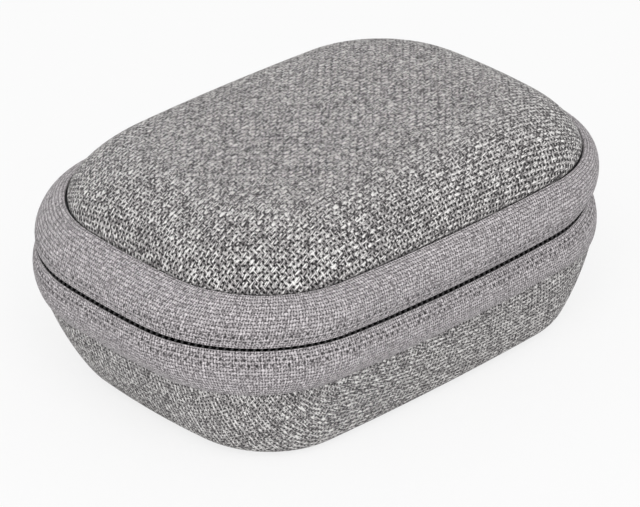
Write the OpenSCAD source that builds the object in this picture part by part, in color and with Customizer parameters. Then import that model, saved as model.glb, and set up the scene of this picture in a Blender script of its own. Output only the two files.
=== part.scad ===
// Zipped hard case for earbuds: two moulded foam shells covered in woven cloth,
// joined by a zip round three sides and a cloth hinge along the back.
// Length runs along X, the front is towards -Y, the hinge is at +Y and +Z is up.
// The origin is the centre of the flat underside.

/* [Body] */
// Length of the case along the zip line
zip_length = 104; // [96:1:120]
// Width of the case along the zip line
zip_width = 73.6; // [68:0.2:84]
// Radius of the zip line's four corners
corner_radius = 29; // [27:0.5:31]
// Depth of the base, from the zip line to the underside
base_depth = 26.2; // [23:0.2:32]
// Height of the lid, from the zip line to the top of its crown
lid_height = 20.1; // [18:0.1:24]

/* [Lid shape] */
// Radius of the shallow crown of the lid, seen in section
crown_radius = 38; // [34:1:44]
// Slope of the lid where its shoulder turns into the crown, in degrees
crown_slope = 20; // [16:1:24]
// Corner radius of the level area in the middle of the lid
crown_flat_radius = 1.5; // [1:0.1:3]

/* [Base shape] */
// Radius of the rounding between the wall and the underside
foot_radius = 7.5; // [6.5:0.1:9]
// Radius of the wall of the base, seen in section
wall_radius = 50; // [42:1:70]
// Lean of the wall where the rounding of the foot starts, in degrees
wall_lean = 27; // [22:1:32]

/* [Zip bands] */
// Height of the upper band, from the zip line to the crease under the lid
upper_band_height = 8.85; // [8:0.05:10]
// Distance by which the crease stands in from the zip line
upper_band_inset = 3.7; // [3:0.1:4.5]
// Bulge of the upper band beyond a straight line from crease to zip
upper_band_bulge = 2.36; // [1.8:0.02:2.8]
// Height of the lower band, from the zip line to its lower edge
lower_band_height = 9.2; // [8.4:0.1:10.4]
// Distance by which the lower edge stands in from the zip line
lower_band_inset = 1; // [0.6:0.1:1.8]
// Bulge of the lower band beyond a straight line from zip to lower edge
lower_band_bulge = 1.6; // [1.2:0.05:2]
// Thickness of the zip tape
tape_thickness = 0.7; // [0.5:0.05:0.9]
// Gap between the edges of the two tapes
zip_gap = 0.9; // [0.8:0.05:1.2]

/* [Layers] */
// Thickness of the outer cloth
cloth_thickness = 0.6; // [0.4:0.05:0.9]
// Thickness of the moulded foam
foam_thickness = 3; // [2.4:0.1:3.6]
// Thickness of the lining
lining_thickness = 0.5; // [0.3:0.05:0.8]
// Room for the glue between two layers
glue_gap = 0.1; // [0.08:0.01:0.15]
// Step from the edge of the upper band in to the cloth of the lid
lid_seam_step = 0.5; // [0.4:0.05:0.8]
// Step from the edge of the lower band in to the cloth of the base
base_seam_step = 0.3; // [0.2:0.05:0.6]
// Distance from the zip line to the rim of each foam shell
rim_distance = 4.8; // [4.6:0.1:5.4]
// Thickness of the binding tape round each rim
binding_thickness = 0.4; // [0.3:0.05:0.5]
// Height of the binding tape inside the case
binding_height = 3.8; // [3:0.1:4]
// Thickness of the sewing thread
thread_thickness = 0.3; // [0.2:0.05:0.4]

/* [Zip] */
// Gap between the two rows of the coil
coil_gap = 1; // [0.9:0.05:1.2]
// Width of one row of the coil
coil_width = 2; // [1.6:0.1:2.1]
// Depth of the coil, measured in from the zip line
coil_depth = 2.6; // [2.3:0.1:2.8]
// Length of each tape end that lies under the hinge strip
tape_tuck = 5; // [3:0.5:7]

/* [Hinge] */
// Length of the cloth hinge along the back
hinge_length = 44; // [36:1:46]
// Thickness of the hinge strip
strip_thickness = 0.6; // [0.4:0.05:0.8]
// Half height of the straight stretch that bridges the zip line
bridge_height = 1.4; // [1.2:0.1:1.8]
// Clearance from the hinge strip out to the hinge line
hinge_play = 0.1; // [0.05:0.05:0.3]
// Distance from the zip line in to the inner hinge cloth
inner_strip_inset = 0.4; // [0.3:0.05:0.6]
// Thickness of the inner hinge cloth
inner_strip_thickness = 0.5; // [0.3:0.05:0.6]

/* [Slider] */
// Place of the slider round the back right corner, in degrees from the end
slider_angle = 50; // [44:1:52]
// Length of the slider along the zip
slider_length = 12.5; // [11:0.5:13.5]
// Height of the slider's head across the zip
slider_head_height = 7.2; // [6.6:0.1:7.4]
// Height of the slider's tail across the zip
slider_tail_height = 5.6; // [5:0.1:6.2]
// Thickness of each plate of the slider
plate_thickness = 0.9; // [0.7:0.05:1.1]
// Running clearance of the slider on the zip
slider_clearance = 0.3; // [0.25:0.01:0.35]
// Thickness of the neck that joins the two plates
neck_thickness = 0.4; // [0.3:0.05:0.45]
// Length of the neck along the zip
neck_length = 4; // [3:0.5:5]
// Radius of the bar that carries the pull
bar_radius = 0.7; // [0.5:0.05:0.8]
// Thickness of the two posts that hold the bar
post_thickness = 1; // [0.8:0.1:1.4]
// Height of the two posts across the zip
post_height = 2; // [1.6:0.1:2.4]

/* [Pull] */
// Length of the pull below the bar
pull_length = 22; // [16:0.5:23]
// Width of the pull at its eye
eye_width = 4.4; // [3.6:0.1:5]
// Width of the pull at its lower end
pull_width = 7; // [5.5:0.1:8]
// Thickness of the pull
pull_thickness = 1.4; // [1:0.1:1.6]
// Wall of the eye round the bar
eye_wall = 0.7; // [0.5:0.05:0.9]
// Running clearance of the eye on the bar
eye_clearance = 0.1; // [0.05:0.01:0.1]
// Width of the slot near the lower end of the pull
slot_width = 2.2; // [1.6:0.1:2.6]
// Length of the slot near the lower end of the pull
slot_length = 8; // [6:0.5:10]

/* [Pocket] */
// Distance from the zip line up to the net pocket in the lid
net_height = 9.5; // [9.3:0.1:10.4]
// Thickness of the net
net_thickness = 0.4; // [0.3:0.05:0.6]
// Place of the pocket's open edge, in front of the middle of the case
pocket_front = 8; // [4:0.5:14]
// Width of the tape that holds the net's edge to the lining
edge_tape_width = 3; // [2:0.2:4]
// Thickness of the tape that holds the net's edge
edge_tape_thickness = 1; // [0.8:0.05:1.2]
// Width of the elastic along the pocket's open edge
elastic_width = 4; // [3:0.5:6]
// Thickness of the elastic
elastic_thickness = 1.2; // [0.8:0.1:1.4]

/* [Hidden] */
$fn = 72;

// Places of the corner centres
corner_x = zip_length / 2 - corner_radius;
corner_y = zip_width / 2 - corner_radius;
// A length larger than the whole case, for cutting shapes
far = 2 * zip_length;

// Sections are drawn with x as the distance out from the zip line and y as the height over it
function unit(v) = v / norm(v);
function angle_of(v) = atan2(v[1], v[0]);
function bulge_radius(p, q, bulge) = (pow(norm(q - p) / 2, 2) + bulge * bulge) / (2 * bulge);
function bulge_centre(p, q, bulge) =
    let (along = unit(q - p), out = [-along[1], along[0]])
    (p + q) / 2 + out * (bulge - bulge_radius(p, q, bulge));
function reach_at(centre, radius, height) =
    centre[0] + sqrt(radius * radius - pow(height - centre[1], 2));

// Upper band, from the crease down to the zip
upper_crease = [-upper_band_inset, upper_band_height];
upper_edge = [0, zip_gap / 2];
upper_radius = bulge_radius(upper_crease, upper_edge, upper_band_bulge);
upper_centre = bulge_centre(upper_crease, upper_edge, upper_band_bulge);
upper_reach = upper_centre[0] + upper_radius;

// Lower band, from the zip down to its lower edge
lower_edge = [0, -zip_gap / 2];
lower_crease = [-lower_band_inset, -lower_band_height];
lower_radius = bulge_radius(lower_edge, lower_crease, lower_band_bulge);
lower_centre = bulge_centre(lower_edge, lower_crease, lower_band_bulge);
lower_reach = lower_centre[0] + lower_radius;

// Lid, from the crease over the shoulder to the crown
crown_inset = corner_radius - crown_flat_radius;
lid_foot = upper_crease - [lid_seam_step, 0];
crown_normal = [sin(crown_slope), cos(crown_slope)];
crown_centre = [-crown_inset, lid_height - crown_radius];
crown_foot = crown_centre + crown_radius * crown_normal;
lid_chord = lid_foot - crown_foot;
shoulder_radius = -(lid_chord * lid_chord) / (2 * (lid_chord * crown_normal));
shoulder_centre = crown_foot - shoulder_radius * crown_normal;
crown_angle = 90 - crown_slope;
shoulder_start = -60;

// Base, from the lower band down the wall and round the foot
base_head = lower_crease - [base_seam_step, 0];
foot_height = -base_depth + foot_radius;
wall_normal = [cos(wall_lean), -sin(wall_lean)];
wall_height = foot_height + (foot_radius - wall_radius) * wall_normal[1];
wall_centre = [
    base_head[0] - sqrt(wall_radius * wall_radius - pow(base_head[1] - wall_height, 2)),
    wall_height
];
foot_centre = [wall_centre[0] + (wall_radius - foot_radius) * wall_normal[0], foot_height];
wall_end = 60;

// Depth of each layer under the outside
foam_start = cloth_thickness + glue_gap;
foam_end = foam_start + foam_thickness;
lining_start = foam_end + glue_gap;
lining_end = lining_start + lining_thickness;
binding_start = lining_end + glue_gap;
binding_end = binding_start + binding_thickness;
seam_start = binding_end + glue_gap;
seam_end = seam_start + thread_thickness;
binding_foot = rim_distance - glue_gap - binding_thickness;
cover_tuck = 0.55;

// Hinge
tape_cut = hinge_length / 2 - tape_tuck;
strip_start = glue_gap;
strip_end = glue_gap + strip_thickness;
hinge_seam_distance = 7.2;
hinge_seam_height = 0.5;
hinge_seam_margin = 2;
bridge_lap = 0.3;
bridge_step = 0.03;
hinge_line = max(upper_reach, lower_reach) + strip_end + hinge_play;

// Slider and pull, measured out from the zip line
coil_play = 0.1;
flange_thickness = 0.6;
bar_cap = 0.4;
outer_plate_start = max(upper_reach, lower_reach) + slider_clearance;
outer_plate_end = outer_plate_start + plate_thickness;
inner_plate_end = -coil_depth - slider_clearance - coil_play;
inner_plate_start = inner_plate_end - plate_thickness;
coil_edge = coil_gap / 2 + coil_width;
flange_start = coil_edge + slider_clearance;
flange_end = flange_start + flange_thickness;
flange_reach = -0.5;
slider_half_angle = slider_length / 2 / corner_radius * 180 / PI;
neck_angle = neck_length / corner_radius * 180 / PI;
bore_radius = bar_radius + eye_clearance;
eye_radius = bore_radius + eye_wall;
bar_distance = outer_plate_end + slider_clearance + eye_radius;
post_place = eye_width / 2 + slider_clearance;
post_end = bar_distance + bar_radius + bar_cap;

// Area between two angles round a centre, as a fan that reaches past the circle
module fan(centre, radius, from_angle, to_angle) {
    steps = 6;
    polygon(concat([centre], [
        for (i = [0 : steps])
            let (a = from_angle + (to_angle - from_angle) * i / steps)
            centre + 2 * radius * [cos(a), sin(a)]
    ]));
}

module disc(centre, radius) {
    translate(centre) circle(r = radius);
}

// Everything between two heights
module level(low, high) {
    translate([-far, low]) square([2 * far, high - low]);
}

// Part of a round layer between two radii and two angles
module arc_layer(centre, inner, outer, from_angle, to_angle) {
    intersection() {
        difference() {
            disc(centre, outer);
            disc(centre, inner);
        }
        fan(centre, outer, from_angle, to_angle);
    }
}

// Layer of the upper band, from the zip to the crease, with some spare length at each end
module upper_layer(inner, outer, spare = 0) {
    spare_angle = spare / upper_radius * 180 / PI;
    arc_layer(
        upper_centre, upper_radius + inner, upper_radius + outer,
        angle_of(upper_edge - upper_centre) - spare_angle, angle_of(upper_crease - upper_centre) + spare_angle
    );
}

// Layer of the lower band, from its lower edge to the zip, with some spare length at each end
module lower_layer(inner, outer, spare = 0) {
    spare_angle = spare / lower_radius * 180 / PI;
    arc_layer(
        lower_centre, lower_radius + inner, lower_radius + outer,
        angle_of(lower_crease - lower_centre) - spare_angle, angle_of(lower_edge - lower_centre) + spare_angle
    );
}

// Section of the lid inside its outer surface, drawn in by a depth. The sector of the shoulder
// runs on under the crown, so that the two share more than an edge
module lid_area(depth) {
    intersection() {
        disc(shoulder_centre, shoulder_radius - depth);
        fan(shoulder_centre, shoulder_radius, shoulder_start, 90);
    }
    intersection() {
        disc(crown_centre, crown_radius - depth);
        fan(crown_centre, crown_radius, crown_angle, 90);
    }
}

// Layer of the lid between two depths: shoulder and crown
module lid_layer(start, end) {
    arc_layer(shoulder_centre, shoulder_radius - end, shoulder_radius - start, shoulder_start, crown_angle);
    arc_layer(crown_centre, crown_radius - end, crown_radius - start, crown_angle, 90);
}

// Section of the base inside its outer surface, drawn in by a depth. The sector of the foot
// runs on behind the wall, so that the two share more than an edge
module base_area(depth) {
    intersection() {
        disc(wall_centre, wall_radius - depth);
        fan(wall_centre, wall_radius, -wall_lean, wall_end);
    }
    intersection() {
        disc(foot_centre, foot_radius - depth);
        fan(foot_centre, foot_radius, -90, 0);
    }
}

// Layer of the base between two depths: wall and foot
module base_layer(start, end) {
    arc_layer(wall_centre, wall_radius - end, wall_radius - start, -wall_lean, wall_end);
    arc_layer(foot_centre, foot_radius - end, foot_radius - start, -90, -wall_lean);
}

// Round each band's foam: what lies inside the tape
module upper_bead() {
    disc(upper_centre, upper_radius - tape_thickness - glue_gap);
}

module lower_bead() {
    disc(lower_centre, lower_radius - tape_thickness - glue_gap);
}

module upper_tape_room() {
    upper_layer(-tape_thickness - glue_gap, glue_gap, glue_gap);
}

module lower_tape_room() {
    lower_layer(-tape_thickness - glue_gap, glue_gap, glue_gap);
}

// Plan of the case at a distance out from the zip line
module plan(out) {
    r = corner_radius + out;
    for (x = [-corner_x, corner_x], y = [-corner_y, corner_y]) translate([x, y]) circle(r = r);
    square([2 * corner_x, 2 * (corner_y + r)], center = true);
    square([2 * (corner_x + r), 2 * corner_y], center = true);
}

// One straight run of a section along side number i, of a given length
module straight_run(i, length) {
    out = i % 2 == 0 ? corner_x : corner_y;
    rotate([0, 0, 90 * i])
        translate([out, length / 2, 0])
            rotate([90, 0, 0])
                linear_extrude(length)
                    translate([corner_radius, 0]) children();
}

// A section swept round the case: four corners and the four sides between them
module around() {
    translate([0, 0, base_depth])
        for (i = [0 : 3]) {
            x = i == 0 || i == 3 ? corner_x : -corner_x;
            y = i < 2 ? corner_y : -corner_y;
            translate([x, y, 0])
                rotate([0, 0, 90 * i])
                    rotate_extrude(angle = 90)
                        translate([corner_radius, 0]) children();
            straight_run(i, i % 2 == 0 ? 2 * corner_y : 2 * corner_x) children();
        }
}

// Level middle of a lid or base layer, between two heights over the zip line
module middle(inset, low, high) {
    translate([0, 0, base_depth + low]) linear_extrude(high - low) plan(-inset);
}

module lid_middle(start, end) {
    middle(crown_inset, lid_height - end, lid_height - start);
}

module base_middle(start, end) {
    middle(-foot_centre[0], -base_depth + start, -base_depth + end);
}

// The zip stops short of the middle of the back, under the ends of the hinge strip
module zip_run() {
    difference() {
        around() children();
        translate([-tape_cut, 0, 0]) cube([2 * tape_cut, far, far]);
    }
}

// A section along the hinge, at the middle of the back
module hinge_run(length) {
    translate([0, 0, base_depth]) straight_run(1, length) children();
}

// Outer cloth of the base
module base_cover() color([0.56, 0.55, 0.55]) {
    around() intersection() {
        difference() {
            base_layer(0, cloth_thickness);
            lower_tape_room();
        }
        level(-base_depth, -lower_band_height);
    }
    base_middle(0, cloth_thickness);
}

// Moulded foam of the base, with a bead behind the lower band
module base_shell() color([0.25, 0.25, 0.26]) {
    around() intersection() {
        difference() {
            union() {
                base_area(foam_start);
                lower_bead();
            }
            base_area(foam_end);
            lower_tape_room();
        }
        level(-base_depth, -rim_distance);
        translate([foot_centre[0], -far]) square([far, 2 * far]);
    }
    base_middle(foam_start, foam_end);
}

// Lining of the base
module base_lining() color([0.3, 0.3, 0.31]) {
    around() intersection() {
        base_layer(lining_start, lining_end);
        level(-base_depth, -rim_distance - glue_gap);
    }
    base_middle(lining_start, lining_end);
}

// Binding tape folded over the rim of the base
module base_binding() color([0.2, 0.2, 0.21]) {
    around() {
        intersection() {
            base_layer(binding_start, binding_end);
            level(-binding_foot - binding_height, -binding_foot);
        }
        intersection() {
            difference() {
                lower_bead();
                base_area(binding_end);
            }
            level(-binding_foot - binding_thickness, -binding_foot);
        }
    }
}

// Thread that holds the binding of the base
module base_binding_seam() color([0.15, 0.15, 0.16]) {
    seam = binding_foot + binding_height / 2;
    around() intersection() {
        base_layer(seam_start, seam_end);
        level(-seam - thread_thickness / 2, -seam + thread_thickness / 2);
    }
}

// Zip tape of the base: the lower band
module base_zip_tape() color([0.63, 0.61, 0.62]) {
    zip_run() lower_layer(-tape_thickness, 0);
}

// Zip coil of the base
module base_zip_coil() color([0.12, 0.12, 0.12]) {
    zip_run() intersection() {
        lower_bead();
        translate([-coil_depth, -coil_edge]) square([coil_depth, coil_width]);
    }
}

// Outer cloth of the lid
module lid_cover() color([0.58, 0.57, 0.56]) {
    around() intersection() {
        difference() {
            lid_layer(0, cloth_thickness);
            upper_tape_room();
        }
        level(upper_band_height - cover_tuck, lid_height);
    }
    lid_middle(0, cloth_thickness);
}

// Moulded foam of the lid, with a bead behind the upper band
module lid_shell() color([0.25, 0.25, 0.26]) {
    around() intersection() {
        difference() {
            union() {
                lid_area(foam_start);
                upper_bead();
            }
            lid_area(foam_end);
            upper_tape_room();
        }
        level(rim_distance, lid_height);
        translate([-crown_inset, -far]) square([far, 2 * far]);
    }
    lid_middle(foam_start, foam_end);
}

// Lining of the lid
module lid_lining() color([0.3, 0.3, 0.31]) {
    around() intersection() {
        lid_layer(lining_start, lining_end);
        level(rim_distance + glue_gap, lid_height);
    }
    lid_middle(lining_start, lining_end);
}

// Binding tape folded over the rim of the lid
module lid_binding() color([0.2, 0.2, 0.21]) {
    around() {
        intersection() {
            lid_layer(binding_start, binding_end);
            level(binding_foot, binding_foot + binding_height);
        }
        intersection() {
            difference() {
                upper_bead();
                lid_area(binding_end);
            }
            level(binding_foot, binding_foot + binding_thickness);
        }
    }
}

// Thread that holds the binding of the lid
module lid_binding_seam() color([0.15, 0.15, 0.16]) {
    seam = binding_foot + binding_height / 2;
    around() intersection() {
        lid_layer(seam_start, seam_end);
        level(seam - thread_thickness / 2, seam + thread_thickness / 2);
    }
}

// Zip tape of the lid: the upper band
module lid_zip_tape() color([0.61, 0.59, 0.6]) {
    zip_run() upper_layer(-tape_thickness, 0);
}

// Zip coil of the lid
module lid_zip_coil() color([0.12, 0.12, 0.12]) {
    zip_run() intersection() {
        upper_bead();
        translate([-coil_depth, coil_gap / 2]) square([coil_depth, coil_width]);
    }
}

// Cloth strip over both bands at the back, on which the lid turns
module hinge_strip() color([0.6, 0.58, 0.59]) {
    lap = bridge_height + bridge_lap;
    bridge_start = bridge_step + max(
        reach_at(upper_centre, upper_radius + strip_start, lap),
        reach_at(lower_centre, lower_radius + strip_start, -lap)
    );
    bridge_end = -bridge_step + min(
        reach_at(upper_centre, upper_radius + strip_end, bridge_height),
        reach_at(lower_centre, lower_radius + strip_end, -bridge_height)
    );
    hinge_run(hinge_length) {
        intersection() {
            upper_layer(strip_start, strip_end);
            level(bridge_height, upper_band_height + strip_thickness);
        }
        intersection() {
            lower_layer(strip_start, strip_end);
            level(-lower_band_height, -bridge_height);
        }
        translate([bridge_start, -lap]) square([bridge_end - bridge_start, 2 * lap]);
    }
}

// Inner hinge cloth, between the two bindings
module hinge_lining() color([0.22, 0.22, 0.23]) {
    reach = binding_foot - glue_gap;
    hinge_run(2 * tape_cut - 2 * glue_gap)
        translate([-inner_strip_inset - inner_strip_thickness, -reach])
            square([inner_strip_thickness, 2 * reach]);
}

// Thread that holds the hinge strip to the lid
module lid_hinge_seam() color([0.5, 0.48, 0.49]) {
    hinge_run(hinge_length - 2 * hinge_seam_margin) intersection() {
        upper_layer(strip_end + glue_gap, strip_end + glue_gap + thread_thickness);
        level(hinge_seam_distance, hinge_seam_distance + hinge_seam_height);
    }
}

// Thread that holds the hinge strip to the base
module base_hinge_seam() color([0.5, 0.48, 0.49]) {
    hinge_run(hinge_length - 2 * hinge_seam_margin) intersection() {
        lower_layer(strip_end + glue_gap, strip_end + glue_gap + thread_thickness);
        level(-hinge_seam_distance - hinge_seam_height, -hinge_seam_distance);
    }
}

// Part of a level layer of the pocket behind a line across the lid
module behind(y) {
    intersection() {
        children();
        translate([-far, -y, 0]) cube([2 * far, far, far]);
    }
}

pocket_wall = reach_at(shoulder_centre, shoulder_radius - binding_start, net_height + edge_tape_thickness / 2);

// Net of the pocket in the lid
module pocket_net() color([0.1, 0.1, 0.11]) {
    behind(pocket_front)
        translate([0, 0, base_depth + net_height - net_thickness / 2])
            linear_extrude(net_thickness) plan(pocket_wall - edge_tape_width - glue_gap);
}

// Tape that holds the net's edge to the lining
module pocket_edge_tape() color([0.16, 0.16, 0.17]) {
    behind(pocket_front) around() intersection() {
        lid_area(binding_start);
        translate([pocket_wall - edge_tape_width, net_height - edge_tape_thickness / 2])
            square([far, edge_tape_thickness]);
    }
}

// Elastic along the open edge of the pocket
module pocket_elastic() color([0.08, 0.08, 0.09]) {
    translate([0, 0, base_depth + net_height - elastic_thickness / 2])
        linear_extrude(elastic_thickness)
            intersection() {
                plan(pocket_wall - glue_gap);
                translate([-far, -pocket_front - glue_gap - elastic_width]) square([2 * far, elastic_width]);
            }
}

// The slider's own frame: x out from the corner centre, y along the zip, z up
module at_slider() {
    translate([corner_x, corner_y, base_depth]) rotate([0, 0, slider_angle]) children();
}

// A section swept along the zip, from one distance to another, in degrees from the slider's middle
module along_zip(from_angle, to_angle) {
    rotate([0, 0, from_angle])
        rotate_extrude(angle = to_angle - from_angle)
            translate([corner_radius, 0]) children();
}

// Outline of the slider's plates, wide at the head and narrow at the tail
module slider_outline() {
    tip = 1.6;
    head = slider_head_height / 2;
    tail = slider_tail_height / 2;
    half = slider_length / 2;
    polygon([
        [-half, -tail + tip], [-half + tip, -tail], [half - 2 * tip, -head], [half, -head + tip],
        [half, head - tip], [half - 2 * tip, head], [-half + tip, tail], [-half, tail - tip]
    ]);
}

// Slider: two plates, a neck between them, a flange under the lower coil and the bail for the pull
module slider_body() color([0.35, 0.34, 0.34]) at_slider() {
    half = slider_half_angle;
    intersection() {
        along_zip(-half, half)
            translate([outer_plate_start, -slider_head_height]) square([plate_thickness, 2 * slider_head_height]);
        rotate([90, 0, 90]) linear_extrude(2 * corner_radius) slider_outline();
    }
    along_zip(-half * 0.85, half * 0.85) polygon([
        [inner_plate_start, coil_edge], [inner_plate_end, coil_edge], [inner_plate_end, -flange_start],
        [flange_reach, -flange_start], [flange_reach, -flange_end], [inner_plate_start, -flange_end]
    ]);
    along_zip(half * 0.8 - neck_angle, half * 0.8)
        translate([inner_plate_end - plate_thickness / 2, -neck_thickness / 2])
            square([outer_plate_start - inner_plate_end + plate_thickness, neck_thickness]);
    for (side = [-1, 1])
        translate([
            corner_radius + outer_plate_end - plate_thickness / 2,
            side * (post_place + post_thickness / 2) - post_thickness / 2,
            -post_height / 2
        ])
            cube([post_end - outer_plate_end + plate_thickness / 2, post_thickness, post_height]);
    translate([corner_radius + bar_distance, post_place + post_thickness / 2, 0])
        rotate([90, 0, 0]) cylinder(r = bar_radius, h = 2 * post_place + post_thickness);
}

// Pull: an eye round the bar and a flat tab that hangs from it
module slider_pull() color([0.35, 0.34, 0.34]) at_slider() {
    end_radius = pull_width / 2;
    translate([corner_radius + bar_distance, 0, 0]) difference() {
        union() {
            translate([0, eye_width / 2, 0]) rotate([90, 0, 0]) cylinder(r = eye_radius, h = eye_width);
            translate([-pull_thickness / 2, 0, 0]) rotate([90, 0, 90]) linear_extrude(pull_thickness) {
                polygon([
                    [-eye_width / 2, 0], [-end_radius, -pull_length + end_radius],
                    [end_radius, -pull_length + end_radius], [eye_width / 2, 0]
                ]);
                translate([0, -pull_length + end_radius]) circle(r = end_radius);
            }
        }
        translate([0, eye_width, 0]) rotate([90, 0, 0]) cylinder(r = bore_radius, h = 2 * eye_width);
        translate([-pull_thickness, 0, 0]) rotate([90, 0, 90]) linear_extrude(2 * pull_thickness)
            translate([0, -pull_length + end_radius]) {
                circle(r = slot_width / 2);
                translate([0, slot_length - slot_width]) circle(r = slot_width / 2);
                translate([-slot_width / 2, 0]) square([slot_width, slot_length - slot_width]);
            }
    }
}

base_cover();
base_shell();
base_lining();
base_binding();
base_binding_seam();
base_zip_tape();
base_zip_coil();
base_hinge_seam();
lid_cover();
lid_shell();
lid_lining();
lid_binding();
lid_binding_seam();
lid_zip_tape();
lid_zip_coil();
lid_hinge_seam();
hinge_strip();
hinge_lining();
pocket_net();
pocket_edge_tape();
pocket_elastic();
slider_body();
slider_pull();
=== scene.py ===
import math

import bmesh
import bpy
import numpy as np
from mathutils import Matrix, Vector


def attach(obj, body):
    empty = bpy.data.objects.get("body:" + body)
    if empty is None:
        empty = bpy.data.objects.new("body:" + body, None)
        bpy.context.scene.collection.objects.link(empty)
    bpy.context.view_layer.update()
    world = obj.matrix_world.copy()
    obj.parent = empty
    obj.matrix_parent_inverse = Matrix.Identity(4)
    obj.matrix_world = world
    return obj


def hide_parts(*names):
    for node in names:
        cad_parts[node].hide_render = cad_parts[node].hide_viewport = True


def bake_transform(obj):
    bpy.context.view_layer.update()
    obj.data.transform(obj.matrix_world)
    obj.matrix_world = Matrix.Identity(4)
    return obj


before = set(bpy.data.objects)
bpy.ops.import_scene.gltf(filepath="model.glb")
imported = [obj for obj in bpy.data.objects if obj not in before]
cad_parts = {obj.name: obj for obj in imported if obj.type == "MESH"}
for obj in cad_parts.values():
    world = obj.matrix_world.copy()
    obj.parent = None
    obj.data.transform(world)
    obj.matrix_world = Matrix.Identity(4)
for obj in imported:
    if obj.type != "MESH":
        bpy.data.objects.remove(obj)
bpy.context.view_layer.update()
mm = 0.001

# Camera
# It stands in front and to the left of the case, well back, behind a long lens. The near corner
# is the left front one. It aims a little under the zip line, as the photograph is framed.
azimuth = math.radians(-43.5)
elevation = math.radians(28.65)
camera_distance = 682.8 * mm
lens_mm, sensor_mm = 211.2, 36
near_clip, far_clip = 0.05, 50
zip_height = 26.2 * mm
aim_down = 8.06 * mm
aim_left = 0.36 * mm
back = np.array([
    math.sin(azimuth) * math.cos(elevation),
    -math.cos(azimuth) * math.cos(elevation),
    math.sin(elevation),
])
to_right = np.array([math.cos(azimuth), math.sin(azimuth), 0.0])


def placed(name, data):
    """Makes an object from its data and puts it in the scene."""
    made = bpy.data.objects.new(name, data)
    bpy.context.scene.collection.objects.link(made)
    return made


camera_data = bpy.data.cameras.new("camera")
camera_data.lens = lens_mm
camera_data.sensor_width = sensor_mm
camera_data.clip_start = near_clip
camera_data.clip_end = far_clip
camera = placed("camera", camera_data)
zip_centre = np.array([0.0, 0.0, zip_height])
aim = zip_centre - np.cross(back, to_right) * aim_down - to_right * aim_left
camera.location = zip_centre + back * camera_distance
direction = Vector(aim) - camera.location
camera.rotation_euler = direction.to_track_quat("-Z", "Y").to_euler()
bpy.context.scene.camera = camera

# Base cover
# The woven cloth on the outside of the lower shell, one sheet moulded over the foam. Its wall
# leans in to a rounded foot, and the underside is flat. All lengths here are in millimetres,
# and heights are measured from the zip line.
zip_half_length = 51.28
zip_half_width = 36.28
zip_corner = 27.5
slider_track = (0.72, 0.52, 1.5)
side_bow = 443.0
end_bow = 141.0
quarter_sides = 16
quarter_corners = 24
quarter_ends = 10


def outline(half_length, half_width, corner, side_radius, end_radius):
    """Points and outward directions round the case, from the middle of the back towards +X."""
    side_centre = np.array([0.0, half_width - side_radius])
    end_centre = np.array([half_length - end_radius, 0.0])
    apart = end_centre - side_centre
    length = np.hypot(*apart)
    to_side, to_end = side_radius - corner, end_radius - corner
    along = (to_side**2 - to_end**2 + length**2) / (2 * length)
    across = math.sqrt(max(to_side**2 - along**2, 1e-9))
    unit = apart / length
    corner_centre = side_centre + unit * along + np.array([-unit[1], unit[0]]) * across
    if corner_centre.sum() < (side_centre + unit * along).sum():
        corner_centre = side_centre + unit * along - np.array([-unit[1], unit[0]]) * across
    side_end = math.atan2(*(corner_centre - side_centre)[::-1])
    end_start = math.atan2(*(corner_centre - end_centre)[::-1])
    runs = [
        (side_centre, side_radius, np.linspace(math.pi / 2, side_end, quarter_sides, endpoint=False)),
        (corner_centre, corner, np.linspace(side_end, end_start, quarter_corners, endpoint=False)),
        (end_centre, end_radius, np.linspace(end_start, 0, quarter_ends, endpoint=False)),
    ]
    points = np.vstack([c + r * np.c_[np.cos(a), np.sin(a)] for c, r, a in runs])
    normals = np.vstack([np.c_[np.cos(a), np.sin(a)] for _, _, a in runs])
    return mirrored(points, (half_length, 0)), mirrored(normals, (1, 0))


def smooth(share):
    """Turns a share from 0 to 1 into a smooth step, and holds it beyond."""
    held = np.clip(share, 0, 1)
    return held**2 * (3 - 2 * held)


def mirrored(quarter, last):
    """The whole ring from its first quarter."""
    half = np.vstack([quarter, [last], (quarter[1:] * (1, -1))[::-1]])
    return np.vstack([half, [quarter[0] * (1, -1)], (half[1:] * (-1, 1))[::-1]])


quarter_count = quarter_sides + quarter_corners + quarter_ends
place = np.arange(4 * quarter_count)
corner_done = quarter_sides + quarter_corners
slider_share = smooth(place / quarter_sides) * smooth(1 - (place - corner_done) / quarter_corners)
hinge_share = smooth(2 - np.minimum(place, 4 * quarter_count - place) / quarter_sides)
slide_heights = (-26.2, -9.2, 0.0, 8.85)
slide_x = (0.45, 0.0, -1.2, 0.57)
slide_y = (-1.3, 0.0, 0.52, -1.0)


def slide(height):
    """How far the soft case has settled sideways at a height. The shells lean a little one way and
    the zip bands between them the other, but the hinge keeps its place along the back."""
    along = np.interp(height, slide_heights, slide_x)
    across = np.interp(height, slide_heights, slide_y)
    return np.c_[along * (1 - hinge_share), np.full(len(hinge_share), across)]


kink_reach = 8


def around(places, values):
    """A value at each place round the case, from its values at a few of them, without kinks."""
    spread = np.interp(place, places, values)
    window = np.hanning(2 * kink_reach + 1)
    wrapped = np.r_[spread[-kink_reach:], spread, spread[:kink_reach]]
    return np.convolve(wrapped, window / window.sum(), "valid")


sag_places = (0, 56, 70, 100, 112, 126, 146, 172, 186)
sag = around(sag_places, (0, 0, -0.95, -1.0, -0.8, -0.1, 0.35, 0.35, 0))
sag_heights = (-20.0, -9.2, 0.0, 8.85, 17.0)
sag_shares = (0, 0.4, 1, 0.4, 0)
track_low, track_high = 4.0, 8.85


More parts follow.
